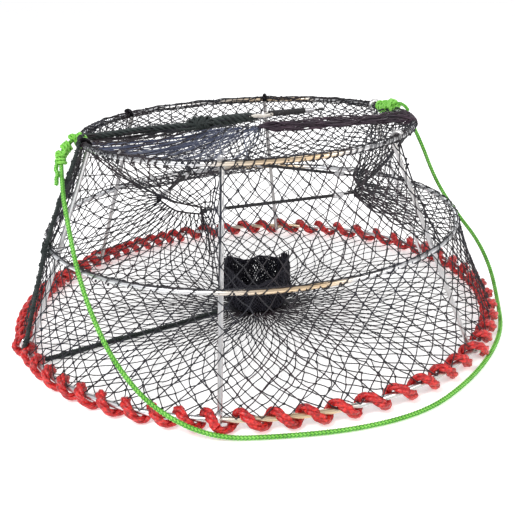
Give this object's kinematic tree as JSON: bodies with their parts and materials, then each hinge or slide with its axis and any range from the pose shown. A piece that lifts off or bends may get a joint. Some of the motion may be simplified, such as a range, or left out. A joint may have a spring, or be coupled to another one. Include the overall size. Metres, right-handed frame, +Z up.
{
  "type": "folding crab trap",
  "caption": "Folding crab trap of three steel hoops and swing-down struts under knotted netting, with entrance tunnels, a bait bag, a rope-bound base hoop and a lifting bridle.",
  "frame": {"origin": "centre of the base hoop, on the floor", "axes": "+Z up along the hoops' common axis; +X to the right and -Y towards the viewer, with the long strut of the front bay near -Y"},
  "size_m": [0.8086, 0.8078, 0.3231],
  "materials": {
    "steel_rod": "satin stainless rod",
    "hook_steel": "bright wire coil",
    "hook_vinyl": "dipped vinyl",
    "net_twine": "knotted twine, black",
    "bait_mesh": "fine knotted twine, black",
    "seam_rope": "braided, dark green-black",
    "red_rope": "laid rope, red, slightly glossy",
    "bridle_green": "braided, lime green with darker flecks",
    "elastic_cord": "braided cover, black"
  },
  "bodies": {
    "base": {"base_ring": "steel_rod", "base_rope_wrap": "red_rope", "bottom_net": "net_twine", "bait_bag": "bait_mesh", "seam_rope_bottom": "seam_rope", "seam_rope_lower": "seam_rope", "lower_net": "net_twine", "bridle_rope": "bridle_green"},
    "middle": {"middle_ring": "steel_rod", "upper_net": "net_twine", "seam_rope_upper": "seam_rope", "tunnel_net_1": "net_twine", "tunnel_net_2": "net_twine", "tunnel_net_3": "net_twine"},
    "top": {"top_ring": "steel_rod", "top_net": "net_twine", "closure_rope": "seam_rope", "closure_knot": "seam_rope", "closure_band": "net_twine", "closure_elastic": "elastic_cord", "closure_elastic_coils": "hook_steel", "closure_elastic_hooks": "hook_vinyl", "bridle_knots": "bridle_green"},
    "elastics": {"tunnel_elastic_1": "elastic_cord", "tunnel_elastic_2": "elastic_cord", "tunnel_elastic_3": "elastic_cord", "tunnel_elastic_coils": "hook_steel", "tunnel_elastic_hooks": "hook_vinyl"},
    "strut_1": {"strut_1": "steel_rod"},
    "strut_2": {"strut_2": "steel_rod"},
    "strut_3": {"strut_3": "steel_rod"},
    "strut_4": {"strut_4": "steel_rod"},
    "strut_5": {"strut_5": "steel_rod"},
    "strut_6": {"strut_6": "steel_rod"}
  },
  "joints": [
    {"name": "fold", "type": "slide", "parent": "base", "child": "middle", "axis": [0, 0, -1], "range_m": [0, 0.138], "deforming": ["lower_net", "seam_rope_lower", "bait_bag", "bridle_rope"]},
    {"name": "top_drop", "type": "slide", "parent": "middle", "child": "top", "axis": [0, 0, -1], "range_m": [0, 0.1142], "deforming": ["upper_net", "seam_rope_upper", "tunnel_net_1", "tunnel_net_2", "tunnel_net_3", "top_net"]},
    {"name": "elastics_drop", "type": "slide", "parent": "middle", "child": "elastics", "axis": [0, 0, -1], "range_m": [0, 0.0572]},
    {"name": "strut_1_swing", "type": "hinge", "parent": "base", "child": "strut_1", "pos_m": [-0.05303, -0.37729, 0.016], "axis": [-0.9903, 0.1392, 0], "range_deg": [0, 63.02]},
    {"name": "strut_2_swing", "type": "hinge", "parent": "base", "child": "strut_2", "pos_m": [0.30823, -0.22395, 0.016], "axis": [-0.5878, -0.809, 0], "range_deg": [0, 63.02]},
    {"name": "strut_3_swing", "type": "hinge", "parent": "base", "child": "strut_3", "pos_m": [0.32996, 0.1905, 0.016], "axis": [0.5, -0.866, 0], "range_deg": [0, 63.02]},
    {"name": "strut_4_swing", "type": "hinge", "parent": "base", "child": "strut_4", "pos_m": [0.05303, 0.37729, 0.016], "axis": [0.9903, -0.1392, 0], "range_deg": [0, 63.02]},
    {"name": "strut_5_swing", "type": "hinge", "parent": "base", "child": "strut_5", "pos_m": [-0.30823, 0.22395, 0.016], "axis": [0.5878, 0.809, 0], "range_deg": [0, 63.02]},
    {"name": "strut_6_swing", "type": "hinge", "parent": "base", "child": "strut_6", "pos_m": [-0.35326, -0.14272, 0.016], "axis": [-0.3746, 0.9272, 0], "range_deg": [0, 63.02]}
  ],
  "couplings": [
    {"joint": "top_drop", "follows": "fold", "ratio": 0.82609},
    {"joint": "elastics_drop", "follows": "fold", "ratio": 0.41304},
    {"joint": "strut_1_swing", "follows": "fold", "rad_per_m": 7.9457},
    {"joint": "strut_2_swing", "follows": "fold", "rad_per_m": 7.9457},
    {"joint": "strut_3_swing", "follows": "fold", "rad_per_m": 7.9457},
    {"joint": "strut_4_swing", "follows": "fold", "rad_per_m": 7.9457},
    {"joint": "strut_5_swing", "follows": "fold", "rad_per_m": 7.9457},
    {"joint": "strut_6_swing", "follows": "fold", "rad_per_m": 7.9457}
  ]
}
